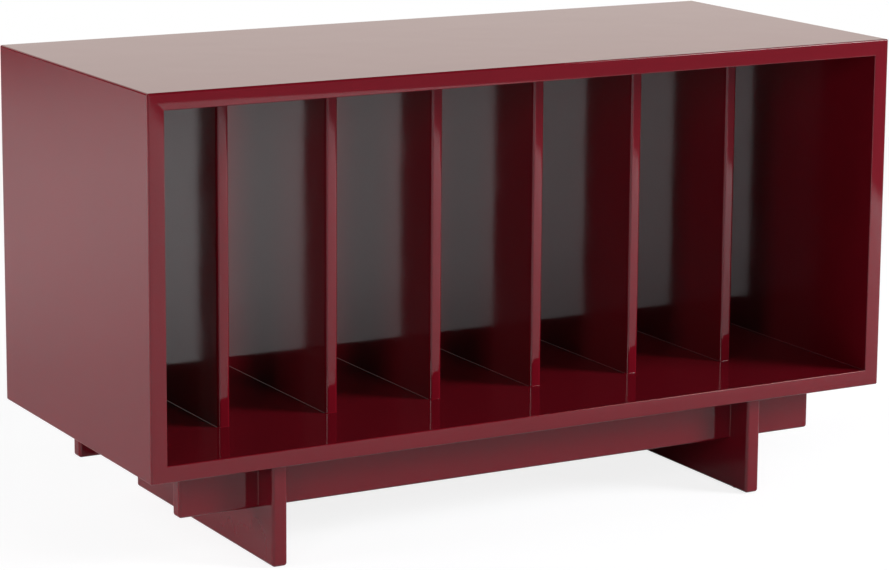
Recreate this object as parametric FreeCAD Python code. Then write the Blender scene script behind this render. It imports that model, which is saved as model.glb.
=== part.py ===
import FreeCAD, Part
import math
import os

# Record cabinet: an open box with six fixed dividers, standing on a base of four crossed planks.
# Lengths are in millimetres. +Z is up, the open front faces -Y and +X is to the right of someone
# who looks at the front. The origin is on the floor under the middle of the cabinet.

# Box
carcass_width = 900.0
carcass_depth = 395.0
carcass_height = 396.0
board_thickness = 18.0
edge_radius = 2.0

# Dividers, counted from the left
divider_count = 6
divider_thickness = 14.0
divider_front_setback = 112.0
divider_back_setback = 3.0
divider_edge_radius = 2.0
end_compartment_narrowing = 4.5

# Base planks: the legs run front to back, the rails left to right
plank_thickness = 17.0
plank_edge_radius = 2.0
leg_height = 113.0
leg_side_inset = 145.5
leg_end_inset = 22.5
leg_overhang = 34.0
rail_height = 57.0
rail_overhang = 90.0
lap_share = 0.5
lap_clearance = 0.1

# Loose tongues in the mitred corners
spline_thickness = 4.0
spline_width = 12.0
spline_end_stop = 20.0
spline_clearance = 0.1
spline_place_share = 0.6

# Dowels between the dividers and the box
dowel_diameter = 6.0
dowel_divider_depth = 16.0
dowel_panel_depth_share = 0.55
dowel_place_shares = (0.15, 0.5, 0.85)
dowel_clearance = 0.05
dowel_end_room = 0.5
dowel_chamfer = 0.8

# Angle brackets between the rails and the box
bracket_length = 40.0
bracket_leaf = 25.0
bracket_thickness = 2.5
bracket_bend_radius = 1.5
bracket_place_shares = (0.2, 0.5, 0.8)
bracket_hole_spread_share = 0.55
bracket_hole_reach_share = 0.64

# Bracket screws
screw_diameter = 3.5
screw_length = 12.0
screw_point_length = 3.0
screw_head_diameter = 7.0
screw_head_height = 2.2
screw_head_crown = 0.7
screw_clearance = 0.05
screw_end_room = 0.5

# Glides under the legs
glide_diameter = 10.0
glide_thickness = 4.0
glide_proud = 1.0
glide_end_inset = 30.0
glide_clearance = 0.1
glide_chamfer = 0.4

# Length by which cutting shapes pass the faces that they cut
overrun = 5.0

# An edge runs along an axis if no more than this share of its length leads aside
parallel_share = 1e-6

# Levels and places that follow from the sizes above
base_top = glide_proud + leg_height
carcass_top = base_top + carcass_height
inner_bottom = base_top + board_thickness
inner_top = carcass_top - board_thickness
half_width = carcass_width / 2
half_depth = carcass_depth / 2
inner_half_width = half_width - board_thickness

divider_front = -half_depth + divider_front_setback
divider_back = half_depth - divider_back_setback
divider_depth = divider_back - divider_front
dividers_together = divider_count * divider_thickness
clear_width = 2 * inner_half_width - dividers_together
compartment_width = (clear_width + 2 * end_compartment_narrowing) / (divider_count + 1)
divider_pitch = compartment_width + divider_thickness

leg_length = carcass_depth - 2 * leg_end_inset
leg_centre = half_width - leg_side_inset - plank_thickness / 2
rail_length = 2 * leg_centre + plank_thickness + 2 * rail_overhang
rail_centre = leg_length / 2 - leg_overhang - plank_thickness / 2
lap_level = base_top - lap_share * rail_height

dowel_panel_depth = dowel_panel_depth_share * board_thickness
bracket_hole_reach = bracket_hole_reach_share * bracket_leaf
bracket_hole_spread = bracket_hole_spread_share * bracket_length


def box(x_span, y_span, z_span):
    """Box from its low and high values along X, Y and Z."""
    low = FreeCAD.Vector(x_span[0], y_span[0], z_span[0])
    sizes = (x_span[1] - x_span[0], y_span[1] - y_span[0], z_span[1] - z_span[0])
    return Part.makeBox(*sizes, low)


def around(middle, size):
    """Low and high value of a span of this size around its middle."""
    return (middle - size / 2, middle + size / 2)


def edges_along(shape, direction):
    """Straight edges of a shape that run along one axis."""
    found = []
    for edge in shape.Edges:
        run = edge.Vertexes[-1].Point - edge.Vertexes[0].Point
        if run.cross(direction).Length < parallel_share * run.Length:
            found.append(edge)
    return found


def along_x():
    return FreeCAD.Vector(1, 0, 0)


def along_y():
    return FreeCAD.Vector(0, 1, 0)


def along_z():
    return FreeCAD.Vector(0, 0, 1)


def prism(outline, y_span):
    """Straight prism along Y over an outline of (x, z) points."""
    points = [FreeCAD.Vector(x, y_span[0], z) for x, z in outline]
    face = Part.Face(Part.makePolygon(points + points[:1]))
    return face.extrude(along_y() * (y_span[1] - y_span[0]))


# Mitred box


def rounded_envelope():
    """The box's outer block, rounded along its four long corners."""
    block = box((-half_width, half_width), (-half_depth, half_depth), (base_top, carcass_top))
    return block.makeFillet(edge_radius, edges_along(block, along_y()))


def mitred_board(board, grain, outline):
    """Board with rounded long edges, cut to its mitred outline and to the box's rounded corners."""
    rounded = board.makeFillet(edge_radius, edges_along(board, grain))
    wedge = prism(outline, (-half_depth - overrun, half_depth + overrun))
    return rounded.common(wedge).common(rounded_envelope())


def level_panel(outer_level, inner_level):
    """Top or bottom board, from its outer face to its inner face."""
    levels = sorted((outer_level, inner_level))
    board = box((-half_width, half_width), (-half_depth, half_depth), levels)
    outline = [
        (-half_width, outer_level),
        (half_width, outer_level),
        (inner_half_width, inner_level),
        (-inner_half_width, inner_level),
    ]
    return mitred_board(board, along_x(), outline)


def side_panel(side):
    """Left (-1) or right (+1) side board."""
    outer = side * half_width
    inner = side * inner_half_width
    board = box(sorted((outer, inner)), (-half_depth, half_depth), (base_top, carcass_top))
    outline = [
        (outer, base_top),
        (outer, carcass_top),
        (inner, inner_top),
        (inner, inner_bottom),
    ]
    return mitred_board(board, along_z(), outline)


# Corner tongues


def corner_tongue(side, level, room):
    """Tongue across one mitre, or its groove when it is given some room.

    side is -1 or +1 for left or right, level -1 or +1 for bottom or top.
    """
    length = carcass_depth - 2 * spline_end_stop + 2 * room
    body = box(
        around(0, spline_width + 2 * room),
        around(0, length),
        around(0, spline_thickness + 2 * room),
    )
    body.rotate(FreeCAD.Vector(0, 0, 0), along_y(), side * level * 45)
    depth = spline_place_share * board_thickness
    outer_level = carcass_top if level > 0 else base_top
    body.translate(FreeCAD.Vector(side * (half_width - depth), 0, outer_level - level * depth))
    return body


# Dividers and their dowels


def divider_centre(number):
    """X of the middle of a divider, numbered from 1 at the left."""
    return (number - (divider_count + 1) / 2) * divider_pitch


def divider_board(number):
    """Divider with rounded front and back edges, before its dowel holes."""
    board = box(
        around(divider_centre(number), divider_thickness),
        (divider_front, divider_back),
        (inner_bottom, inner_top),
    )
    return board.makeFillet(divider_edge_radius, edges_along(board, along_z()))


def dowel_places(number):
    """(x, y) of the dowels along one edge of a divider."""
    return [(divider_centre(number), divider_front + share * divider_depth) for share in dowel_place_shares]


def dowel_span(level):
    """Low and high end of the dowels at the top (+1) or bottom (-1) of the dividers."""
    if level > 0:
        return (inner_top - dowel_divider_depth, inner_top + dowel_panel_depth)
    return (inner_bottom - dowel_panel_depth, inner_bottom + dowel_divider_depth)


def dowel(place, level):
    """Dowel with chamfered ends."""
    low, high = dowel_span(level)
    start = FreeCAD.Vector(place[0], place[1], low)
    pin = Part.makeCylinder(dowel_diameter / 2, high - low, start)
    rims = [edge for edge in pin.Edges if edge.isClosed()]
    return pin.makeChamfer(dowel_chamfer, rims)


def dowel_hole(place, level):
    """Hole for a dowel through the joint, with room at both ends."""
    low, high = dowel_span(level)
    start = FreeCAD.Vector(place[0], place[1], low - dowel_end_room)
    radius = dowel_diameter / 2 + dowel_clearance
    return Part.makeCylinder(radius, high - low + 2 * dowel_end_room, start)


# Base planks


def exposed_plank(block):
    """Plank with every edge rounded except those that meet the box."""
    eased = [edge for edge in block.Edges if edge.CenterOfMass.z < block.BoundBox.ZMax]
    return block.makeFillet(plank_edge_radius, eased)


def leg(side):
    """Leg, notched from above where the rails cross it."""
    centre = side * leg_centre
    block = box(around(centre, plank_thickness), around(0, leg_length), (glide_proud, base_top))
    plank = exposed_plank(block)
    slot = plank_thickness + 2 * lap_clearance
    for end in (-1, 1):
        notch = box(
            around(centre, plank_thickness + 2 * overrun),
            around(end * rail_centre, slot),
            (lap_level, base_top + overrun),
        )
        plank = plank.cut(notch)
    return plank


def rail(end):
    """Front (-1) or rear (+1) rail, notched from below where the legs cross it."""
    centre = end * rail_centre
    block = box(around(0, rail_length), around(centre, plank_thickness), (base_top - rail_height, base_top))
    plank = exposed_plank(block)
    slot = plank_thickness + 2 * lap_clearance
    for side in (-1, 1):
        notch = box(
            around(side * leg_centre, slot),
            around(centre, plank_thickness + 2 * overrun),
            (base_top - rail_height - overrun, lap_level),
        )
        plank = plank.cut(notch)
    return plank


# Glides


def glide_places(side):
    """(x, y) of the two glides under one leg."""
    reach = leg_length / 2 - glide_end_inset
    return [(side * leg_centre, -reach), (side * leg_centre, reach)]


def glide(place):
    """Glide disc with a chamfered lower rim."""
    disc = Part.makeCylinder(glide_diameter / 2, glide_thickness, FreeCAD.Vector(place[0], place[1], 0))
    rims = [edge for edge in disc.Edges if edge.isClosed() and edge.CenterOfMass.z < glide_proud]
    return disc.makeChamfer(glide_chamfer, rims)


def glide_recess(place):
    """Recess in the underside of a leg that holds one glide."""
    radius = glide_diameter / 2 + glide_clearance
    start = FreeCAD.Vector(place[0], place[1], glide_proud - overrun)
    return Part.makeCylinder(radius, glide_thickness - glide_proud + overrun, start)


# Angle brackets and their screws


def placed_at_bracket(shape, end, place):
    """Moves a shape from the bracket's own corner to the rail at one end of the cabinet."""
    placed = shape.copy()
    if end > 0:
        placed.rotate(FreeCAD.Vector(0, 0, 0), along_z(), 180)
    inner_face = rail_centre - plank_thickness / 2
    placed.translate(FreeCAD.Vector(place, end * inner_face, base_top))
    return placed


def bracket_places():
    """X of the brackets along a rail, between the legs."""
    gap = 2 * leg_centre - plank_thickness
    return [(share - 0.5) * gap for share in bracket_place_shares]


def bracket_holes():
    """X of the two holes in each leaf of a bracket."""
    return around(0, bracket_hole_spread)


def screw_hole(radius, depth, start, direction):
    """Round hole that starts on the near side of the face that it enters."""
    return Part.makeCylinder(radius, depth + overrun, start - direction * overrun, direction)


def edge_nearest(shape, point):
    """Edge of a shape whose middle is nearest to a point."""
    return min(shape.Edges, key=lambda edge: (edge.CenterOfMass - point).Length)


def bracket():
    """Angle bracket in its own corner: one leaf hangs against the rail, one lies under the box."""
    width = around(0, bracket_length)
    hanging = box(width, (0, bracket_thickness), (-bracket_leaf, 0))
    level = box(width, (0, bracket_leaf), (-bracket_thickness, 0))
    angle = hanging.fuse(level).removeSplitter()
    inner_corner = FreeCAD.Vector(0, bracket_thickness, -bracket_thickness)
    angle = angle.makeFillet(bracket_bend_radius, [edge_nearest(angle, inner_corner)])
    outer_corner = FreeCAD.Vector(0, 0, 0)
    outer_radius = bracket_bend_radius + bracket_thickness
    angle = angle.makeFillet(outer_radius, [edge_nearest(angle, outer_corner)])
    radius = screw_diameter / 2 + screw_clearance
    depth = bracket_thickness + overrun
    for x in bracket_holes():
        under_box = FreeCAD.Vector(x, bracket_hole_reach, -bracket_thickness)
        on_rail = FreeCAD.Vector(x, bracket_thickness, -bracket_hole_reach)
        angle = angle.cut(screw_hole(radius, depth, under_box, along_z()))
        angle = angle.cut(screw_hole(radius, depth, on_rail, -along_y()))
    return angle.Solids[0]


def screw():
    """Round-headed screw along +Z, with the underside of its head at the origin."""
    head = screw_head_diameter / 2
    shank = screw_diameter / 2
    crown = FreeCAD.Vector(0, 0, -screw_head_height)
    shoulder = FreeCAD.Vector(head, 0, -screw_head_height + screw_head_crown)
    half_way = math.sqrt(0.5)
    bulge = FreeCAD.Vector(head * half_way, 0, -screw_head_height + screw_head_crown * (1 - half_way))
    corners = [
        FreeCAD.Vector(head, 0, 0),
        FreeCAD.Vector(shank, 0, 0),
        FreeCAD.Vector(shank, 0, screw_length - screw_point_length),
        FreeCAD.Vector(0, 0, screw_length),
        crown,
    ]
    edges = [Part.Arc(crown, bulge, shoulder).toShape(), Part.makeLine(shoulder, corners[0])]
    edges += [Part.makeLine(start, end) for start, end in zip(corners, corners[1:])]
    profile = Part.Face(Part.Wire(Part.__sortEdges__(edges)))
    return profile.revolve(FreeCAD.Vector(0, 0, 0), along_z(), 360)


def panel_screws():
    """Screws of one bracket that point up into the box, in the bracket's own corner."""
    screws = []
    for x in bracket_holes():
        piece = screw()
        piece.translate(FreeCAD.Vector(x, bracket_hole_reach, -bracket_thickness))
        screws.append(piece)
    return screws


def rail_screws():
    """Screws of one bracket that point into the rail, in the bracket's own corner."""
    screws = []
    for x in bracket_holes():
        piece = screw()
        piece.rotate(FreeCAD.Vector(0, 0, 0), along_x(), 90)
        piece.translate(FreeCAD.Vector(x, bracket_thickness, -bracket_hole_reach))
        screws.append(piece)
    return screws


def pilot_holes(into_rail):
    """Pilot holes of one bracket's screws in the rail or in the box, in the bracket's own corner."""
    radius = screw_diameter / 2 + screw_clearance
    depth = screw_length - bracket_thickness + screw_end_room
    holes = []
    for x in bracket_holes():
        if into_rail:
            holes.append(screw_hole(radius, depth, FreeCAD.Vector(x, 0, -bracket_hole_reach), -along_y()))
        else:
            holes.append(screw_hole(radius, depth, FreeCAD.Vector(x, bracket_hole_reach, 0), along_z()))
    return holes


# Assembly


def cut_all(shape, tools):
    """Shape with every tool cut out of it, as one clean solid."""
    return shape.cut(tools).removeSplitter().Solids[0]


def main():
    nodes = {}
    numbers = range(1, divider_count + 1)
    corners = {
        "top_left": (-1, 1),
        "top_right": (1, 1),
        "bottom_left": (-1, -1),
        "bottom_right": (1, -1),
    }
    grooves = {name: corner_tongue(side, level, spline_clearance) for name, (side, level) in corners.items()}
    all_places = [place for number in numbers for place in dowel_places(number)]
    top_holes = [dowel_hole(place, 1) for place in all_places]
    bottom_holes = [dowel_hole(place, -1) for place in all_places]
    bracket_spots = [(end, place) for end in (-1, 1) for place in bracket_places()]

    panel_pilots = []
    for end, place in bracket_spots:
        panel_pilots += [placed_at_bracket(hole, end, place) for hole in pilot_holes(into_rail=False)]

    top_cuts = [grooves["top_left"], grooves["top_right"]] + top_holes
    bottom_cuts = [grooves["bottom_left"], grooves["bottom_right"]] + bottom_holes + panel_pilots
    nodes["top_panel"] = cut_all(level_panel(carcass_top, inner_top), top_cuts)
    nodes["bottom_panel"] = cut_all(level_panel(base_top, inner_bottom), bottom_cuts)
    nodes["left_side_panel"] = cut_all(side_panel(-1), [grooves["top_left"], grooves["bottom_left"]])
    nodes["right_side_panel"] = cut_all(side_panel(1), [grooves["top_right"], grooves["bottom_right"]])
    for name, (side, level) in corners.items():
        nodes[name + "_spline"] = corner_tongue(side, level, 0)

    for number in numbers:
        places = dowel_places(number)
        holes = [dowel_hole(place, level) for place in places for level in (-1, 1)]
        nodes[f"divider_{number}"] = cut_all(divider_board(number), holes)
    nodes["divider_top_dowels"] = Part.makeCompound([dowel(place, 1) for place in all_places])
    nodes["divider_bottom_dowels"] = Part.makeCompound([dowel(place, -1) for place in all_places])

    for name, side in (("left_leg", -1), ("right_leg", 1)):
        nodes[name] = cut_all(leg(side), [glide_recess(place) for place in glide_places(side)])
    for name, end in (("front_rail", -1), ("rear_rail", 1)):
        pilots = []
        for place in bracket_places():
            pilots += [placed_at_bracket(hole, end, place) for hole in pilot_holes(into_rail=True)]
        nodes[name] = cut_all(rail(end), pilots)

    groups = {"base_brackets": [bracket()], "bracket_panel_screws": panel_screws()}
    groups["bracket_rail_screws"] = rail_screws()
    for name, pieces in groups.items():
        placed = [placed_at_bracket(piece, end, place) for end, place in bracket_spots for piece in pieces]
        nodes[name] = Part.makeCompound(placed)
    glides = [glide(place) for side in (-1, 1) for place in glide_places(side)]
    nodes["foot_glides"] = Part.makeCompound(glides)

    os.makedirs("parts", exist_ok=True)
    for name, shape in nodes.items():
        shape.exportStep(f"parts/{name}.step")
        print(name, len(shape.Solids), "solids", round(shape.Volume), "mm3", shape.isValid())


main()
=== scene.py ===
import math

import bmesh
import bpy
from bpy.props import FloatProperty, FloatVectorProperty, IntProperty, PointerProperty
from bpy.types import Operator, Panel, PropertyGroup
from mathutils import Matrix, Vector


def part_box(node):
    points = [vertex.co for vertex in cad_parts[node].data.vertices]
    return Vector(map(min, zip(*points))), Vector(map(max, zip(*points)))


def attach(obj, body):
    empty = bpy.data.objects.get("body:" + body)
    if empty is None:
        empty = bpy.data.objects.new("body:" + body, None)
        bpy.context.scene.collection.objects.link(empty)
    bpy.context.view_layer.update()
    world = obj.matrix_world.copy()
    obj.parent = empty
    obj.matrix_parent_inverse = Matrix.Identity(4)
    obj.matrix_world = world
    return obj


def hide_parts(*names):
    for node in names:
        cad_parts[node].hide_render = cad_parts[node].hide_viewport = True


bl_info = {
    "name": "Record Cabinet",
    "version": (1, 0, 0),
    "blender": (4, 5, 0),
    "location": "3D View > Sidebar > Record Cabinet",
    "description": "Builds a gloss lacquered record cabinet and its studio stage on the packed model",
    "category": "Object",
}

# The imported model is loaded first, because sizes below follow from it. Lengths are in metres.
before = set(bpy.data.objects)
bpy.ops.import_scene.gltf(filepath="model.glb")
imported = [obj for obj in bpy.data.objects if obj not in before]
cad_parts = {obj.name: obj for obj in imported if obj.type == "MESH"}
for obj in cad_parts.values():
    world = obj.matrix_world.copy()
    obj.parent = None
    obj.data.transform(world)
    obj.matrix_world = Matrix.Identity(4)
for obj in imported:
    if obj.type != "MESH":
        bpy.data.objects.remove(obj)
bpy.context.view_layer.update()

BODY = "root"

# Two lengths closer than this are the same
NEAR = 1e-5

# Faces that meet at a larger angle than this are shaded apart
SHARP_ANGLE = math.radians(40)

# A face looks along an axis if its normal has more than this along it
FACING = 0.5

# Width of the camera's sensor in millimetres
SENSOR_WIDTH = 36.0


def linear(hex_colour):
    """Linear RGBA of an sRGB hex colour."""
    channels = [int(hex_colour[i:i + 2], 16) / 255 for i in (1, 3, 5)]
    return [c / 12.92 if c <= 0.04045 else ((c + 0.055) / 1.055) ** 2.4 for c in channels] + [1.0]


# Settings that a user would change


class CabinetSizes(PropertyGroup):
    """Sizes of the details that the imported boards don't carry."""

    edge_radius: FloatProperty(
        name="Edge radius",
        description="Rounding of the box's outer corners and of the outer arrises of its edges",
        default=0.002,
        min=0.0005,
        max=0.006,
        unit="LENGTH",
    )
    inner_radius: FloatProperty(
        name="Inner edge radius",
        description="Rounding of the arrises round the box's two openings",
        default=0.001,
        min=0.0005,
        max=0.006,
        unit="LENGTH",
    )
    edge_crown: FloatProperty(
        name="Edge crown",
        description="How far polishing leaves the middle of a front edge above its arrises",
        default=0.00012,
        min=0.0,
        max=0.001,
        unit="LENGTH",
    )
    corner_cove: FloatProperty(
        name="Corner cove",
        description="Radius of the lacquer that fills the box's inner corners",
        default=0.0007,
        min=0.0002,
        max=0.004,
        unit="LENGTH",
    )
    divider_radius: FloatProperty(
        name="Divider edge radius",
        description="Rounding of the dividers' front and back edges",
        default=0.0035,
        min=0.0005,
        max=0.005,
        unit="LENGTH",
    )
    divider_cove: FloatProperty(
        name="Divider cove",
        description="Radius of the lacquer that fills the corner round a divider's foot and head",
        default=0.0007,
        min=0.0002,
        max=0.002,
        unit="LENGTH",
    )
    plank_radius: FloatProperty(
        name="Plank edge radius",
        description="Rounding of the exposed edges of the legs and rails",
        default=0.0035,
        min=0.0005,
        max=0.006,
        unit="LENGTH",
    )
    lap_cove: FloatProperty(
        name="Lap cove",
        description="Radius of the lacquer that fills the corners where legs and rails cross",
        default=0.0007,
        min=0.0002,
        max=0.004,
        unit="LENGTH",
    )
    round_steps: IntProperty(
        name="Rounding steps",
        description="Facets across each rounded edge",
        default=6,
        min=3,
        max=16,
    )
    cove_steps: IntProperty(
        name="Cove steps",
        description="Facets across each lacquer cove",
        default=4,
        min=3,
        max=12,
    )


class CabinetFinish(PropertyGroup):
    """Colours and surface patterns of the cabinet's materials."""

    lacquer_deep: FloatVectorProperty(
        name="Lacquer, deep",
        description="Lacquer colour where the coat is thickest",
        default=linear("#610A16"),
        size=4,
        min=0.0,
        max=1.0,
        subtype="COLOR",
    )
    lacquer_clear: FloatVectorProperty(
        name="Lacquer, clear",
        description="Lacquer colour where the coat is thinnest",
        default=linear("#6B0B19"),
        size=4,
        min=0.0,
        max=1.0,
        subtype="COLOR",
    )
    polished_gloss: FloatProperty(
        name="Polished roughness",
        description="Roughness of the polished lacquer where it is glossiest",
        default=0.025,
        min=0.0,
        max=1.0,
        subtype="FACTOR",
    )
    polished_haze: FloatProperty(
        name="Polished haze",
        description="Roughness of the polished lacquer where the polish left it haziest",
        default=0.05,
        min=0.0,
        max=1.0,
        subtype="FACTOR",
    )
    sprayed_gloss: FloatProperty(
        name="Sprayed roughness",
        description="Roughness of the lacquer inside the box where it is glossiest",
        default=0.07,
        min=0.0,
        max=1.0,
        subtype="FACTOR",
    )
    sprayed_haze: FloatProperty(
        name="Sprayed haze",
        description="Roughness of the lacquer inside the box where the spray fell driest",
        default=0.11,
        min=0.0,
        max=1.0,
        subtype="FACTOR",
    )
    peel_size: FloatProperty(
        name="Orange peel size",
        description="Distance between the dimples that spraying leaves",
        default=0.004,
        unit="LENGTH",
    )
    polished_peel: FloatProperty(
        name="Polished peel height",
        description="Height of those dimples where they were polished",
        default=0.000003,
        precision=6,
        unit="LENGTH",
    )
    sprayed_peel: FloatProperty(
        name="Sprayed peel height",
        description="Height of those dimples inside the box",
        default=0.000012,
        precision=6,
        unit="LENGTH",
    )
    wave_size: FloatProperty(
        name="Wave size",
        description="Distance between the slow waves that sanding leaves",
        default=0.07,
        unit="LENGTH",
    )
    wave_height: FloatProperty(
        name="Wave height",
        description="Height of those waves",
        default=0.00015,
        precision=6,
        unit="LENGTH",
    )


class CabinetStage(PropertyGroup):
    """Floor, light and camera."""

    floor_colour: FloatVectorProperty(
        name="Floor colour",
        description="Colour of the studio floor",
        default=linear("#E9EBEF"),
        size=4,
        min=0.0,
        max=1.0,
        subtype="COLOR",
    )
    floor_front: FloatProperty(
        name="Paper to the front",
        description="How far the paper strip reaches in front of the cabinet's middle, along the view",
        default=7.0,
        unit="LENGTH",
    )
    floor_back: FloatProperty(
        name="Paper to the back",
        description="How far the paper strip reaches behind the cabinet's middle, along the view",
        default=3.4,
        unit="LENGTH",
    )
    floor_left: FloatProperty(
        name="Paper to the left",
        description="How far the paper strip reaches left of the cabinet's middle, across the view",
        default=4.5,
        unit="LENGTH",
    )
    floor_right: FloatProperty(
        name="Paper to the right",
        description="How far the paper strip reaches right of the cabinet's middle, across the view",
        default=2.25,
        unit="LENGTH",
    )
    floor_fade: FloatProperty(
        name="Paper fade",
        description="Width over which the side borders of the paper strip fade out",
        default=0.2,
        unit="LENGTH",
    )
    camera_place: FloatVectorProperty(
        name="Camera place",
        description="Where the camera stands",
        default=(-1.651, -2.9352, 0.9665),
        subtype="TRANSLATION",
        unit="LENGTH",
    )
    camera_yaw: FloatProperty(
        name="Camera yaw",
        description="Turn of the view from straight at the front towards the right",
        default=math.radians(29.266),
        subtype="ANGLE",
    )
    camera_pitch: FloatProperty(
        name="Camera pitch",
        description="Tilt of the view below the horizon",
        default=math.radians(10.469),
        subtype="ANGLE",
    )
    camera_roll: FloatProperty(
        name="Camera roll",
        description="Turn of the camera about its view",
        default=math.radians(0.384),
        subtype="ANGLE",
    )
    camera_lens: FloatProperty(
        name="Camera lens",
        description="Focal length in millimetres on a 36 mm sensor",
        default=124.929,
    )
    camera_rise: FloatProperty(
        name="Camera shift",
        description="Upward shift of the lens, as a share of the picture's width",
        default=-0.1069,
    )


# Mesh helpers


def round_edges(bm, edges, radius, steps):
    """Rounds edges over, or fills them if they are inner corners, to a circular section."""
    bmesh.ops.bevel(
        bm,
        geom=edges,
        offset=radius,
        offset_type="OFFSET",
        segments=steps,
        profile=0.5,
        affect="EDGES",
        material=-1,
        clamp_overlap=True,
    )


def block(bm, low, high):
    """Cube stretched between two corners."""
    size = high - low
    place = Matrix.Translation((low + high) / 2) @ Matrix.Diagonal((*size, 1.0))
    bmesh.ops.create_cube(bm, size=1.0, matrix=place)


def runs_along(edge, axis):
    """Whether an edge runs along one axis: 0, 1 or 2."""
    run = edge.verts[1].co - edge.verts[0].co
    return abs(run[axis]) > (1 - NEAR) * run.length


def lies_at(edge, axis, value):
    """Whether both ends of an edge have this value along an axis."""
    return all(abs(vert.co[axis] - value) < NEAR for vert in edge.verts)


def inside_faces(bm):
    """The faces in the box's hollow that don't look out of it at the front or the back."""
    low, high = box_corners()
    wall = board_thickness() - NEAR
    middles = {face: face.calc_center_median() for face in bm.faces if abs(face.normal.y) < FACING}
    return {
        face for face, middle in middles.items()
        if all(low[axis] + wall < middle[axis] < high[axis] - wall for axis in (0, 2))
    }


def lacquered_piece(name, bm, *replaced):
    """Makes a mesh a lacquered piece of the cabinet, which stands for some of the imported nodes."""
    bmesh.ops.recalc_face_normals(bm, faces=bm.faces)
    for edge in bm.edges:
        edge.smooth = edge.calc_face_angle(0.0) < SHARP_ANGLE
    inside = inside_faces(bm)
    for face in bm.faces:
        face.smooth = True
        face.material_index = 1 if face in inside else 0
    mesh = bpy.data.meshes.new(name)
    bm.to_mesh(mesh)
    bm.free()
    for finish in (POLISHED_NAME, SPRAYED_NAME):
        mesh.materials.append(bpy.data.materials[finish])
    piece = bpy.data.objects.new(name, mesh)
    bpy.context.scene.collection.objects.link(piece)
    shading = piece.modifiers.new("shading_by_area", "WEIGHTED_NORMAL")
    shading.keep_sharp = True
    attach(piece, BODY)
    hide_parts(*replaced)


# Box


def box_corners():
    """Lowest and highest corner of the box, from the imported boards."""
    panels = ("bottom_panel", "left_side_panel", "right_side_panel", "top_panel")
    boards = [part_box(name) for name in panels]
    low = Vector(min(board[0][axis] for board in boards) for axis in range(3))
    high = Vector(max(board[1][axis] for board in boards) for axis in range(3))
    return low, high


def board_thickness():
    """Thickness of the box's boards."""
    low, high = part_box("top_panel")
    return high.z - low.z


def crown_edges(bm, faces, width, crown):
    """Raises the middle of a ring of flat edge faces to a low arch."""
    # The arch rises in steps, at these shares of the width in from both arrises
    shares = (0.0, 0.15, 0.3, 0.45)
    for near, far in zip(shares, shares[1:]):
        rise = crown * ((1 - 2 * near) ** 2 - (1 - 2 * far) ** 2)
        bmesh.ops.inset_region(
            bm,
            faces=faces,
            thickness=width * (far - near),
            depth=rise,
            use_boundary=True,
            use_even_offset=True,
        )


def box_shell(sizes):
    """The whole box as one rounded tube, open at the front and the back."""
    low, high = box_corners()
    thickness = board_thickness()
    recess = Vector((0, sizes.edge_crown, 0))
    bm = bmesh.new()
    block(bm, low + recess, high - recess)
    ends = [face for face in bm.faces if abs(face.normal.y) > FACING]
    bmesh.ops.inset_individual(bm, faces=ends, thickness=thickness, use_even_offset=True)
    rims = [edge for face in ends for edge in face.edges]
    bmesh.ops.delete(bm, geom=ends, context="FACES_ONLY")
    bmesh.ops.bridge_loops(bm, edges=rims)
    bmesh.ops.recalc_face_normals(bm, faces=bm.faces)

    rings = {face for face in bm.faces if abs(face.normal.y) > FACING}
    outside = ((0, low.x), (0, high.x), (2, low.z), (2, high.z))
    outer = [edge for edge in bm.edges if any(lies_at(edge, axis, value) for axis, value in outside)]
    inner = [
        edge for edge in bm.edges
        if edge not in outer and sum(face in rings for face in edge.link_faces) == 1
    ]
    round_edges(bm, outer, sizes.edge_radius, sizes.round_steps)
    round_edges(bm, inner, sizes.inner_radius, sizes.round_steps)
    width = thickness - sizes.edge_radius - sizes.inner_radius
    for side in (-1, 1):
        ring = [face for face in bm.faces if face.normal.y * side > 1 - NEAR]
        crown_edges(bm, ring, width, sizes.edge_crown)
    return bm


def cut_away(bm, corner, direction):
    """Cuts off what lies beyond a plane and closes each cut with a face."""
    cut = bmesh.ops.bisect_plane(
        bm,
        geom=bm.verts[:] + bm.edges[:] + bm.faces[:],
        dist=NEAR / 10,
        plane_co=corner,
        plane_no=direction,
        clear_outer=True,
    )
    rim = [part for part in cut["geom_cut"] if isinstance(part, bmesh.types.BMEdge)]
    rim = [edge for edge in rim if edge.is_valid and edge.is_boundary]
    bmesh.ops.contextual_create(bm, geom=rim)


class CABINET_OT_box(Operator):
    """Build the four mitred boards of the box"""

    bl_idname = "record_cabinet.box"
    bl_label = "Box"

    def execute(self, context):
        sizes = context.scene.cabinet_sizes
        low, high = box_corners()
        boards = {
            "top": (Vector((0, 0, 1)), "top_panel"),
            "bottom": (Vector((0, 0, -1)), "bottom_panel"),
            "left": (Vector((-1, 0, 0)), "left_side_panel"),
            "right": (Vector((1, 0, 0)), "right_side_panel"),
        }
        for name, (outward, node) in boards.items():
            bm = box_shell(sizes)
            cut_away(bm, (low + high) / 2, -outward)
            for turn in (-1, 1):
                aside = turn * outward.cross(Vector((0, 1, 0)))
                reach = outward + aside
                corner = Vector((high.x if reach.x > 0 else low.x, 0, high.z if reach.z > 0 else low.z))
                cut_away(bm, corner, aside - outward)
            lacquered_piece(f"{name}_board", bm, node)
        return {"FINISHED"}


# Dividers


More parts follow.
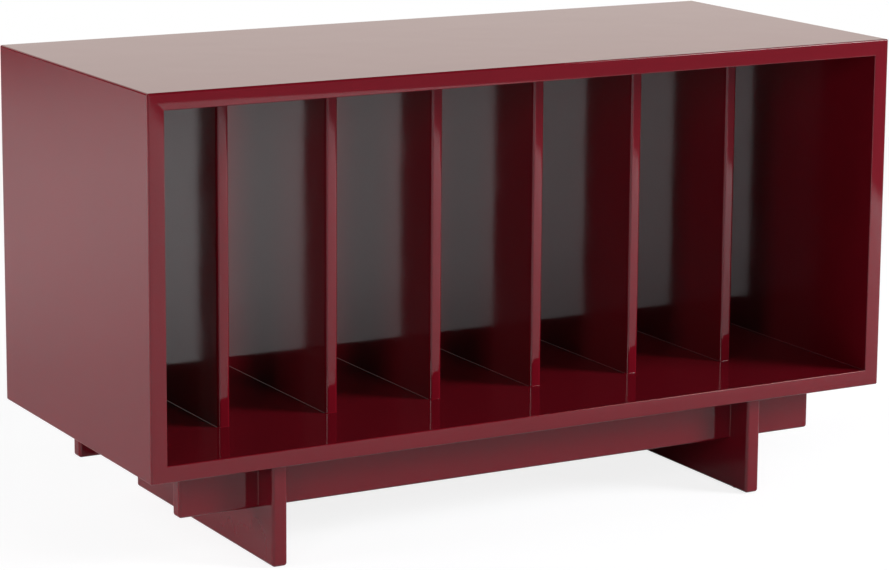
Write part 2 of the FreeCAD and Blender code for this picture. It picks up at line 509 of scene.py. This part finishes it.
def divider_mesh(low, high, sizes):
    """Divider with rounded front and back edges, and lacquer coves round its foot and head."""
    cove = sizes.divider_cove
    middle = (low.z + high.z) / 2
    bm = bmesh.new()
    left, right = low.x - cove, high.x + cove
    front, back = low.y - cove, high.y + cove
    corners = [(left, front), (right, front), (right, back), (left, back)]
    face = bm.faces.new([bm.verts.new((x, y, low.z)) for x, y in corners])
    face.normal_update()
    bmesh.ops.bevel(
        bm,
        geom=bm.verts[:],
        offset=sizes.divider_radius + cove,
        offset_type="OFFSET",
        segments=sizes.round_steps,
        profile=0.5,
        affect="VERTICES",
        material=-1,
    )
    face = bm.faces[:][0]
    turns = [math.pi / 2 * step / sizes.cove_steps for step in range(sizes.cove_steps + 1)]
    for start, end in zip(turns, turns[1:]):
        bmesh.ops.inset_region(
            bm,
            faces=[face],
            thickness=cove * (math.sin(end) - math.sin(start)),
            depth=cove * (math.cos(start) - math.cos(end)),
            use_boundary=True,
            use_even_offset=True,
        )
    raised = bmesh.ops.extrude_face_region(bm, geom=[face])["geom"]
    upper = next(part for part in raised if isinstance(part, bmesh.types.BMFace))
    bmesh.ops.translate(bm, verts=upper.verts[:], vec=(0, 0, middle - low.z - cove))
    bmesh.ops.delete(bm, geom=[face, upper], context="FACES_ONLY")
    foot = [edge for edge in bm.edges if edge.is_boundary and lies_at(edge, 2, low.z)]
    bmesh.ops.contextual_create(bm, geom=foot)
    bmesh.ops.mirror(
        bm,
        geom=bm.verts[:] + bm.edges[:] + bm.faces[:],
        matrix=Matrix.Translation((0, 0, -middle)),
        merge_dist=NEAR,
        axis="Z",
    )
    bmesh.ops.remove_doubles(bm, verts=bm.verts, dist=NEAR)
    return bm


class CABINET_OT_dividers(Operator):
    """Build the dividers between the compartments"""

    bl_idname = "record_cabinet.dividers"
    bl_label = "Dividers"

    def execute(self, context):
        nodes = sorted(
            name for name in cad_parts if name.startswith("divider_") and name[-1].isdigit()
        )
        for node in nodes:
            low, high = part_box(node)
            bm = divider_mesh(low, high, context.scene.cabinet_sizes)
            lacquered_piece(node.replace("divider", "divider_board"), bm, node)
        return {"FINISHED"}


# Base


def plank_mesh(outline, axis, thickness):
    """Plank on edge with sharp edges: an outline, extruded along an axis."""
    bm = bmesh.new()
    face = bm.faces.new([bm.verts.new(point) for point in outline])
    raised = bmesh.ops.extrude_face_region(bm, geom=[face], use_keep_orig=True)
    moved = [part for part in raised["geom"] if isinstance(part, bmesh.types.BMVert)]
    push = Vector((0, 0, 0))
    push[axis] = thickness
    bmesh.ops.translate(bm, verts=moved, vec=push)
    bmesh.ops.recalc_face_normals(bm, faces=bm.faces)
    return bm


def lap_level():
    """Height at which legs and rails are halved into each other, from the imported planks."""
    rail_low, rail_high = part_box("front_rail")
    return (rail_low.z + rail_high.z) / 2


class CABINET_OT_legs(Operator):
    """Build the two legs, notched from above for the rails"""

    bl_idname = "record_cabinet.legs"
    bl_label = "Legs"

    def execute(self, context):
        sizes = context.scene.cabinet_sizes
        halving = lap_level()
        rails = [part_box(name) for name in ("front_rail", "rear_rail")]
        for name in ("left_leg", "right_leg"):
            low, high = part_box(name)
            outline = [(low.x, low.y, low.z), (low.x, low.y, high.z)]
            for rail_low, rail_high in rails:
                outline += [(low.x, rail_low.y, high.z), (low.x, rail_low.y, halving)]
                outline += [(low.x, rail_high.y, halving), (low.x, rail_high.y, high.z)]
            outline += [(low.x, high.y, high.z), (low.x, high.y, low.z)]
            bm = plank_mesh(outline, 0, high.x - low.x)
            ends = [edge for edge in bm.edges if any(lies_at(edge, 1, y) for y in (low.y, high.y))]
            exposed = [
                edge for edge in bm.edges
                if lies_at(edge, 2, low.z)
                or (edge in ends and runs_along(edge, 2))
            ]
            round_edges(bm, exposed, sizes.plank_radius, sizes.round_steps)
            lacquered_piece(f"{name}_plank", bm, name)
        return {"FINISHED"}


class CABINET_OT_rails(Operator):
    """Build the two rails, notched from below for the legs"""

    bl_idname = "record_cabinet.rails"
    bl_label = "Rails"

    def execute(self, context):
        sizes = context.scene.cabinet_sizes
        halving = lap_level()
        legs = [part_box(name) for name in ("left_leg", "right_leg")]
        for name in ("front_rail", "rear_rail"):
            low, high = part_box(name)
            outline = [(low.x, low.y, high.z), (low.x, low.y, low.z)]
            for leg_low, leg_high in legs:
                outline += [(leg_low.x, low.y, low.z), (leg_low.x, low.y, halving)]
                outline += [(leg_high.x, low.y, halving), (leg_high.x, low.y, low.z)]
            outline += [(high.x, low.y, low.z), (high.x, low.y, high.z)]
            bm = plank_mesh(outline, 1, high.y - low.y)
            ends = [edge for edge in bm.edges if any(lies_at(edge, 0, x) for x in (low.x, high.x))]
            notches = [edge for edge in bm.edges if runs_along(edge, 1) and edge not in ends]
            exposed = [
                edge for edge in bm.edges
                if (lies_at(edge, 2, low.z) and edge not in notches)
                or (edge in ends and runs_along(edge, 2))
            ]
            round_edges(bm, exposed, sizes.plank_radius, sizes.round_steps)
            lacquered_piece(f"{name}_plank", bm, name)
        return {"FINISHED"}


# Lacquer in the corners


def add_cove(bm, corner, run, aside, radius, steps):
    """Adds a strip of lacquer with a hollow face, along a run, in the corner of two faces.

    aside holds the directions in which the two faces leave the corner.
    """
    first, second = (Vector(direction) for direction in aside)
    start = bm.verts.new(corner + first * radius)
    axis = second.cross(first)
    arc = bmesh.ops.spin(
        bm,
        geom=[start],
        cent=corner + (first + second) * radius,
        axis=axis,
        angle=math.pi / 2,
        steps=steps,
        space=Matrix.Identity(4),
    )
    last = arc["geom_last"][0]
    hollow = [start]
    while hollow[-1] is not last:
        onward = [edge.other_vert(hollow[-1]) for edge in hollow[-1].link_edges]
        hollow.append(next(vert for vert in onward if vert not in hollow))
    end = bm.faces.new([bm.verts.new(corner)] + hollow)
    raised = bmesh.ops.extrude_face_region(bm, geom=[end], use_keep_orig=True)
    moved = [part for part in raised["geom"] if isinstance(part, bmesh.types.BMVert)]
    bmesh.ops.translate(bm, verts=moved, vec=run)


class CABINET_OT_coves(Operator):
    """Build the lacquer coves in the box's inner corners and where legs and rails cross"""

    bl_idname = "record_cabinet.coves"
    bl_label = "Coves"

    def execute(self, context):
        sizes = context.scene.cabinet_sizes
        low, high = box_corners()
        thickness = board_thickness()
        front = low.y + sizes.inner_radius
        run = Vector((0, high.y - low.y - 2 * sizes.inner_radius, 0))
        bm = bmesh.new()
        for x, out_x in ((low.x + thickness, 1), (high.x - thickness, -1)):
            for z, out_z in ((low.z + thickness, 1), (high.z - thickness, -1)):
                corner = Vector((x, front, z))
                aside = ((out_x, 0, 0), (0, 0, out_z))
                add_cove(bm, corner, run, aside, sizes.corner_cove, sizes.cove_steps)
        lacquered_piece("corner_coves", bm)

        bm = bmesh.new()
        for leg in ("left_leg", "right_leg"):
            for rail in ("front_rail", "rear_rail"):
                leg_low, leg_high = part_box(leg)
                rail_low, rail_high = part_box(rail)
                bottom = rail_low.z + sizes.plank_radius
                run = Vector((0, 0, rail_high.z - bottom))
                for x, out_x in ((leg_low.x, -1), (leg_high.x, 1)):
                    for y, out_y in ((rail_low.y, -1), (rail_high.y, 1)):
                        corner = Vector((x, y, bottom))
                        aside = ((out_x, 0, 0), (0, out_y, 0))
                        add_cove(bm, corner, run, aside, sizes.lap_cove, sizes.cove_steps)
        lacquered_piece("lap_coves", bm)
        return {"FINISHED"}


# Materials


def add_node(tree, kind, inputs=None, **settings):
    """Adds a node with its settings, and sets or links its inputs."""
    made = tree.nodes.new(kind)
    for name, value in settings.items():
        setattr(made, name, value)
    for name, value in (inputs or {}).items():
        if isinstance(value, bpy.types.NodeSocket):
            tree.links.new(value, made.inputs[name])
        else:
            made.inputs[name].default_value = value
    return made


def empty_material(name):
    """Material of this name with no nodes yet."""
    material = bpy.data.materials.new(name)
    material.use_nodes = True
    material.node_tree.nodes.clear()
    return material


POLISHED_NAME = "burgundy_polyester_lacquer_polished"
SPRAYED_NAME = "burgundy_polyester_lacquer_as_sprayed"
DOWEL_BEECH_NAME = "beech_turned_dowel"
TONGUE_BEECH_NAME = "beech_planed_tongue"
ZINC_NAME = "zinc_plated_steel_pressed"
NYLON_NAME = "black_nylon_moulded"

# Finish of each kind of fitting, by the last word of its node's name
FITTING_FINISHES = {
    "dowels": DOWEL_BEECH_NAME,
    "spline": TONGUE_BEECH_NAME,
    "screws": ZINC_NAME,
    "brackets": ZINC_NAME,
    "glides": NYLON_NAME,
}

# Polyester's own index of refraction, and a lower one for dry spray, which mirrors less
POLISHED_IOR = 1.5
SPRAYED_IOR = 1.42

# Width of a fleck in beech as a share of its length
FLECK_WIDTH = 0.06


def burgundy_lacquer(name, finish, gloss, haze, dimples, ior):
    # Polyester lacquer on board: a deep even red under a clear mirror. The spray leaves fine dimples and
    # the sanding slow waves, so reflections of straight lines waver. Edges and outer faces are polished.
    # A wheel doesn't reach between the dividers, so there the lacquer stays as sprayed and its mirror is
    # softer.
    cloud_size = 0.12
    polish_size = 0.035
    tree = empty_material(name).node_tree
    place = add_node(tree, "ShaderNodeTexCoord").outputs["Object"]
    cloud = add_node(
        tree, "ShaderNodeTexNoise", {"Vector": place, "Scale": 1 / cloud_size, "Detail": 3.0}
    )
    colour = add_node(
        tree,
        "ShaderNodeMix",
        {0: cloud.outputs["Fac"], 6: finish.lacquer_deep, 7: finish.lacquer_clear},
        data_type="RGBA",
    )
    polish = add_node(
        tree, "ShaderNodeTexNoise", {"Vector": place, "Scale": 1 / polish_size, "Detail": 4.0}
    )
    roughness = add_node(
        tree,
        "ShaderNodeMapRange",
        {
            "Value": polish.outputs["Fac"],
            "From Min": 0.3,
            "From Max": 0.7,
            "To Min": gloss,
            "To Max": haze,
        },
    )
    wave = add_node(
        tree, "ShaderNodeTexNoise", {"Vector": place, "Scale": 1 / finish.wave_size, "Detail": 1.0}
    )
    slow = add_node(
        tree,
        "ShaderNodeBump",
        {"Height": wave.outputs["Fac"], "Distance": finish.wave_height, "Strength": 1.0},
    )
    peel = add_node(
        tree, "ShaderNodeTexNoise", {"Vector": place, "Scale": 1 / finish.peel_size, "Detail": 1.5}
    )
    fine = add_node(
        tree,
        "ShaderNodeBump",
        {
            "Height": peel.outputs["Fac"],
            "Distance": dimples,
            "Strength": 1.0,
            "Normal": slow.outputs["Normal"],
        },
    )
    shader = add_node(
        tree,
        "ShaderNodeBsdfPrincipled",
        {
            "Base Color": colour.outputs[2],
            "Roughness": roughness.outputs["Result"],
            "IOR": ior,
            "Normal": fine.outputs["Normal"],
        },
    )
    add_node(tree, "ShaderNodeOutputMaterial", {"Surface": shader.outputs["BSDF"]})


def beech(name, grain):
    # Steamed beech: a pale pinkish brown with short dark flecks along the grain and a dry, matt surface.
    fleck_size = 0.0015
    fibre_height = 0.00005
    tree = empty_material(name).node_tree
    place = add_node(tree, "ShaderNodeTexCoord").outputs["Object"]
    drawn = add_node(tree, "ShaderNodeMapping", {"Vector": place, "Scale": grain})
    streak = add_node(
        tree,
        "ShaderNodeTexNoise",
        {"Vector": drawn.outputs["Vector"], "Scale": 1 / fleck_size, "Detail": 4.0},
    )
    colour = add_node(
        tree,
        "ShaderNodeMix",
        {0: streak.outputs["Fac"], 6: linear("#B88A63"), 7: linear("#DDB68E")},
        data_type="RGBA",
    )
    roughness = add_node(
        tree, "ShaderNodeMapRange", {"Value": streak.outputs["Fac"], "To Min": 0.55, "To Max": 0.75}
    )
    fibre = add_node(
        tree,
        "ShaderNodeBump",
        {"Height": streak.outputs["Fac"], "Distance": fibre_height, "Strength": 1.0},
    )
    shader = add_node(
        tree,
        "ShaderNodeBsdfPrincipled",
        {
            "Base Color": colour.outputs[2],
            "Roughness": roughness.outputs["Result"],
            "IOR": 1.5,
            "Normal": fibre.outputs["Normal"],
        },
    )
    add_node(tree, "ShaderNodeOutputMaterial", {"Surface": shader.outputs["BSDF"]})


def zinc_plate():
    # Bright zinc on pressed steel: a cool grey metal with soft cloudy patches and fine rolling marks.
    patch_size = 0.006
    mark_size = 0.0006
    mark_height = 0.00002
    mark_direction = (0.08, 1.0, 1.0)
    tree = empty_material(ZINC_NAME).node_tree
    place = add_node(tree, "ShaderNodeTexCoord").outputs["Object"]
    patch = add_node(
        tree, "ShaderNodeTexNoise", {"Vector": place, "Scale": 1 / patch_size, "Detail": 5.0}
    )
    colour = add_node(
        tree,
        "ShaderNodeMix",
        {0: patch.outputs["Fac"], 6: linear("#A9AEB4"), 7: linear("#CFD3D6")},
        data_type="RGBA",
    )
    roughness = add_node(
        tree, "ShaderNodeMapRange", {"Value": patch.outputs["Fac"], "To Min": 0.25, "To Max": 0.5}
    )
    drawn = add_node(tree, "ShaderNodeMapping", {"Vector": place, "Scale": mark_direction})
    marks = add_node(
        tree,
        "ShaderNodeTexNoise",
        {"Vector": drawn.outputs["Vector"], "Scale": 1 / mark_size, "Detail": 2.0},
    )
    rolled = add_node(
        tree,
        "ShaderNodeBump",
        {"Height": marks.outputs["Fac"], "Distance": mark_height, "Strength": 1.0},
    )
    shader = add_node(
        tree,
        "ShaderNodeBsdfPrincipled",
        {
            "Base Color": colour.outputs[2],
            "Metallic": 1.0,
            "Roughness": roughness.outputs["Result"],
            "Normal": rolled.outputs["Normal"],
        },
    )
    add_node(tree, "ShaderNodeOutputMaterial", {"Surface": shader.outputs["BSDF"]})


def black_nylon():
    # Moulded nylon: near black with a dull sheen and the fine grain of the mould.
    grain_size = 0.0008
    grain_height = 0.00003
    tree = empty_material(NYLON_NAME).node_tree
    place = add_node(tree, "ShaderNodeTexCoord").outputs["Object"]
    grain = add_node(
        tree, "ShaderNodeTexNoise", {"Vector": place, "Scale": 1 / grain_size, "Detail": 3.0}
    )
    colour = add_node(
        tree,
        "ShaderNodeMix",
        {0: grain.outputs["Fac"], 6: linear("#141415"), 7: linear("#232325")},
        data_type="RGBA",
    )
    roughness = add_node(
        tree, "ShaderNodeMapRange", {"Value": grain.outputs["Fac"], "To Min": 0.4, "To Max": 0.6}
    )
    mould = add_node(
        tree,
        "ShaderNodeBump",
        {"Height": grain.outputs["Fac"], "Distance": grain_height, "Strength": 1.0},
    )
    shader = add_node(
        tree,
        "ShaderNodeBsdfPrincipled",
        {
            "Base Color": colour.outputs[2],
            "Roughness": roughness.outputs["Result"],
            "IOR": 1.53,
            "Normal": mould.outputs["Normal"],
        },
    )
    add_node(tree, "ShaderNodeOutputMaterial", {"Surface": shader.outputs["BSDF"]})


def studio_floor(stage):
    # Matt background paper rolled out on the floor: near white with a faint mottle. Its borders at the
    # sides and the back fade out, so that no line shows. To the camera a share of it glows, so that it
    # looks white and keeps only a pale shadow.
    mottle_size = 0.4
    glowing_share = 0.7
    glow_strength = 1.2
    material = empty_material("white_matt_background_paper")
    tree = material.node_tree
    place = add_node(tree, "ShaderNodeTexCoord").outputs["Object"]
    mottle = add_node(
        tree, "ShaderNodeTexNoise", {"Vector": place, "Scale": 1 / mottle_size, "Detail": 3.0}
    )
    colour = add_node(
        tree,
        "ShaderNodeMix",
        {0: mottle.outputs["Fac"], 6: linear("#E6E7EB"), 7: stage.floor_colour},
        data_type="RGBA",
    )
    paper = add_node(
        tree,
        "ShaderNodeBsdfPrincipled",
        {"Base Color": colour.outputs[2], "Roughness": 0.8, "Specular IOR Level": 0.0},
    )
    path = add_node(tree, "ShaderNodeLightPath")
    share = add_node(
        tree,
        "ShaderNodeMath",
        {0: path.outputs["Is Camera Ray"], 1: glowing_share},
        operation="MULTIPLY",
    )
    glow = add_node(tree, "ShaderNodeEmission", {"Strength": glow_strength})
    lit = add_node(
        tree,
        "ShaderNodeMixShader",
        {0: share.outputs[0], 1: paper.outputs["BSDF"], 2: glow.outputs["Emission"]},
    )
    turned = add_node(
        tree, "ShaderNodeMapping", {"Vector": place, "Rotation": (0.0, 0.0, stage.camera_yaw)}
    )
    place_on_paper = add_node(tree, "ShaderNodeSeparateXYZ", {"Vector": turned.outputs["Vector"]})
    across = place_on_paper.outputs["X"]
    along = place_on_paper.outputs["Y"]
    fade = stage.floor_fade
    right = add_node(
        tree,
        "ShaderNodeMapRange",
        {"Value": across, "From Min": stage.floor_right - fade, "From Max": stage.floor_right},
        interpolation_type="SMOOTHSTEP",
    )
    left = add_node(
        tree,
        "ShaderNodeMapRange",
        {"Value": across, "From Min": fade - stage.floor_left, "From Max": -stage.floor_left},
        interpolation_type="SMOOTHSTEP",
    )
    back = add_node(
        tree,
        "ShaderNodeMapRange",
        {"Value": along, "From Min": stage.floor_back / 2, "From Max": stage.floor_back},
        interpolation_type="SMOOTHSTEP",
    )
    sides = add_node(
        tree, "ShaderNodeMath", {0: right.outputs[0], 1: left.outputs[0]}, operation="MAXIMUM"
    )
    rim = add_node(
        tree, "ShaderNodeMath", {0: sides.outputs[0], 1: back.outputs[0]}, operation="MAXIMUM"
    )
    clear = add_node(tree, "ShaderNodeBsdfTransparent")
    faded = add_node(
        tree, "ShaderNodeMixShader", {0: rim.outputs[0], 1: lit.outputs[0], 2: clear.outputs[0]}
    )
    add_node(tree, "ShaderNodeOutputMaterial", {"Surface": faded.outputs[0]})
    return material


class CABINET_OT_finishes(Operator):
    """Make the materials and give the fittings theirs"""

    bl_idname = "record_cabinet.finishes"
    bl_label = "Finishes"

    def execute(self, context):
        lacquer = context.scene.cabinet_finish
        polished = (lacquer.polished_gloss, lacquer.polished_haze, lacquer.polished_peel)
        sprayed = (lacquer.sprayed_gloss, lacquer.sprayed_haze, lacquer.sprayed_peel)
        burgundy_lacquer(POLISHED_NAME, lacquer, *polished, POLISHED_IOR)
        burgundy_lacquer(SPRAYED_NAME, lacquer, *sprayed, SPRAYED_IOR)
        beech(DOWEL_BEECH_NAME, (1.0, 1.0, FLECK_WIDTH))
        beech(TONGUE_BEECH_NAME, (1.0, FLECK_WIDTH, 1.0))
        zinc_plate()
        black_nylon()
        for name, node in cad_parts.items():
            finish = FITTING_FINISHES.get(name.split("_")[-1], POLISHED_NAME)
            for slot in node.material_slots:
                slot.material = bpy.data.materials[finish]
        return {"FINISHED"}


# Stage


def studio_world(stage):
    """White to the camera. Mirror images show a pale backdrop straight behind, in a dim studio."""
    # The extents are cosines of the turn away from the view, and sines of the height above the horizon.
    # Each runs from where a part of the studio begins to show to where it shows in full. The backdrop
    # shows in mirror images only, and gives no light of its own.
    backdrop_aside = {"From Min": 0.61, "From Max": 0.72}
    backdrop_height = {"From Min": 0.75, "From Max": 0.45}
    front_aside = {"From Min": 0.3, "From Max": -0.1}
    below_horizon = {"From Min": 0.0, "From Max": -0.06}
    dim_room = (0.03, 0.03, 0.03, 1.0)
    pale_backdrop = (0.93, 0.82, 0.77, 1.0)
    bare_floor = (0.2, 0.2, 0.22, 1.0)
    white = (1.0, 1.0, 1.0, 1.0)
    world = bpy.data.worlds.new("white_studio")
    world.use_nodes = True
    tree = world.node_tree
    tree.nodes.clear()
    direction = add_node(tree, "ShaderNodeTexCoord").outputs["Generated"]
    ahead = (math.sin(stage.camera_yaw), math.cos(stage.camera_yaw), 0.0)
    dot = add_node(tree, "ShaderNodeVectorMath", {0: direction, 1: ahead}, operation="DOT_PRODUCT")
    along = dot.outputs["Value"]
    height = add_node(tree, "ShaderNodeSeparateXYZ", {"Vector": direction}).outputs["Z"]
    behind = add_node(
        tree,
        "ShaderNodeMapRange",
        {"Value": along, **backdrop_aside},
        interpolation_type="SMOOTHSTEP",
    )
    low = add_node(
        tree,
        "ShaderNodeMapRange",
        {"Value": height, **backdrop_height},
        interpolation_type="SMOOTHSTEP",
    )
    backdrop = add_node(
        tree, "ShaderNodeMath", {0: behind.outputs[0], 1: low.outputs[0]}, operation="MULTIPLY"
    )
    path = add_node(tree, "ShaderNodeLightPath")
    mirrored = add_node(
        tree,
        "ShaderNodeMath",
        {0: backdrop.outputs[0], 1: path.outputs["Is Glossy Ray"]},
        operation="MULTIPLY",
    )
    room = add_node(
        tree,
        "ShaderNodeMix",
        {0: mirrored.outputs[0], 6: dim_room, 7: pale_backdrop},
        data_type="RGBA",
    )
    front = add_node(
        tree,
        "ShaderNodeMapRange",
        {"Value": along, **front_aside},
        interpolation_type="SMOOTHSTEP",
    )
    below = add_node(
        tree,
        "ShaderNodeMapRange",
        {"Value": height, **below_horizon},
        interpolation_type="SMOOTHSTEP",
    )
    ground = add_node(
        tree, "ShaderNodeMath", {0: below.outputs[0], 1: front.outputs[0]}, operation="MULTIPLY"
    )
    studio = add_node(
        tree,
        "ShaderNodeMix",
        {0: ground.outputs[0], 6: room.outputs[2], 7: bare_floor},
        data_type="RGBA",
    )
    seen = add_node(
        tree,
        "ShaderNodeMix",
        {0: path.outputs["Is Camera Ray"], 6: studio.outputs[2], 7: white},
        data_type="RGBA",
    )
    light = add_node(tree, "ShaderNodeBackground", {"Color": seen.outputs[2], "Strength": 1.0})
    add_node(tree, "ShaderNodeOutputWorld", {"Surface": light.outputs["Background"]})
    return world


def soft_box(name, place, target, size, watts, colour=(1.0, 1.0, 1.0), mirrored=True):
    """Square lamp that faces a point, and that mirror images may leave out."""
    lamp = bpy.data.lights.new(name, "AREA")
    lamp.shape = "SQUARE"
    lamp.size = size
    lamp.energy = watts
    lamp.color = colour
    box = bpy.data.objects.new(name, lamp)
    box.visible_glossy = mirrored
    aim = Vector(target) - Vector(place)
    box.matrix_world = Matrix.Translation(place) @ aim.to_track_quat("-Z", "Y").to_matrix().to_4x4()
    bpy.context.scene.collection.objects.link(box)


class CABINET_OT_stage(Operator):
    """Lay the floor, set up the lamps and the camera"""

    bl_idname = "record_cabinet.stage"
    bl_label = "Stage"

    def execute(self, context):
        scene = context.scene
        stage = scene.cabinet_stage
        bm = bmesh.new()
        width = stage.floor_left + stage.floor_right
        length = stage.floor_front + stage.floor_back
        aside = (stage.floor_right - stage.floor_left) / 2
        behind = (stage.floor_back - stage.floor_front) / 2
        strip = Matrix.Translation((aside, behind, 0.0)) @ Matrix.Diagonal((width, length, 1.0, 1.0))
        strip = Matrix.Rotation(-stage.camera_yaw, 4, "Z") @ strip
        bmesh.ops.create_grid(bm, x_segments=1, y_segments=1, size=0.5, matrix=strip)
        mesh = bpy.data.meshes.new("studio_floor")
        bm.to_mesh(mesh)
        bm.free()
        mesh.materials.append(studio_floor(stage))
        floor = bpy.data.objects.new("studio_floor", mesh)
        scene.collection.objects.link(floor)

        scene.world = studio_world(stage)
        # Two lamps are left out of mirror images, because they would whiten whole faces there
        middle = (0.0, 0.0, 0.3)
        floor_behind = (-1.1, 1.4, 0.0)
        floor_before = (0.0, -1.4, 0.0)
        warm = (1.0, 0.96, 0.93)
        soft_box("right_soft_box", (3.2, -2.4, 1.2), middle, size=1.4, watts=150.0, mirrored=False)
        soft_box("left_low_soft_box", (-3.4, 0.2, 1.1), middle, size=1.2, watts=44.0, mirrored=False)
        soft_box("right_high_soft_box", (2.45, -2.4, 2.4), middle, size=0.9, watts=45.0)
        soft_box("left_soft_box", (-2.8, 1.7, 1.6), floor_behind, size=1.6, watts=57.0, colour=warm)
        soft_box("left_front_soft_box", (-2.55, -2.2, 1.1), middle, size=0.8, watts=18.0)
        soft_box("rear_soft_box", (2.4, 3.0, 2.4), middle, size=1.6, watts=8.0)
        soft_box("floor_soft_box", (0.2, -3.4, 2.4), floor_before, size=1.0, watts=19.5)

        lens = bpy.data.cameras.new("camera")
        lens.lens = stage.camera_lens
        lens.sensor_fit = "HORIZONTAL"
        lens.sensor_width = SENSOR_WIDTH
        lens.shift_y = stage.camera_rise
        camera = bpy.data.objects.new("camera", lens)
        turn = Matrix.Rotation(-stage.camera_yaw, 4, "Z")
        tilt = Matrix.Rotation(math.pi / 2 - stage.camera_pitch, 4, "X")
        roll = Matrix.Rotation(stage.camera_roll, 4, "Z")
        camera.matrix_world = Matrix.Translation(stage.camera_place) @ turn @ tilt @ roll
        scene.collection.objects.link(camera)
        scene.camera = camera
        scene.view_settings.view_transform = "Standard"
        return {"FINISHED"}


# Add-on


class CABINET_PT_panel(Panel):
    """Lists the cabinet's settings and the steps that build it"""

    bl_idname = "CABINET_PT_panel"
    bl_label = "Record Cabinet"
    bl_space_type = "VIEW_3D"
    bl_region_type = "UI"
    bl_category = "Record Cabinet"

    def draw(self, context):
        for group in SETTINGS:
            settings = getattr(context.scene, group)
            column = self.layout.column()
            for name in settings.__annotations__:
                column.prop(settings, name)
        for step in STEPS:
            self.layout.operator(step.bl_idname)


SETTINGS = {
    "cabinet_sizes": CabinetSizes,
    "cabinet_finish": CabinetFinish,
    "cabinet_stage": CabinetStage,
}
STEPS = (
    CABINET_OT_finishes,
    CABINET_OT_box,
    CABINET_OT_dividers,
    CABINET_OT_legs,
    CABINET_OT_rails,
    CABINET_OT_coves,
    CABINET_OT_stage,
)


def register():
    for group in SETTINGS.values():
        bpy.utils.register_class(group)
    for step in STEPS:
        bpy.utils.register_class(step)
    bpy.utils.register_class(CABINET_PT_panel)
    for name, group in SETTINGS.items():
        setattr(bpy.types.Scene, name, PointerProperty(type=group))


def unregister():
    for name in SETTINGS:
        delattr(bpy.types.Scene, name)
    bpy.utils.unregister_class(CABINET_PT_panel)
    for step in reversed(STEPS):
        bpy.utils.unregister_class(step)
    for group in reversed(SETTINGS.values()):
        bpy.utils.unregister_class(group)


def main():
    register()
    bpy.ops.record_cabinet.finishes()
    bpy.ops.record_cabinet.box()
    bpy.ops.record_cabinet.dividers()
    bpy.ops.record_cabinet.legs()
    bpy.ops.record_cabinet.rails()
    bpy.ops.record_cabinet.coves()
    bpy.ops.record_cabinet.stage()


if __name__ == "__main__":
    main()
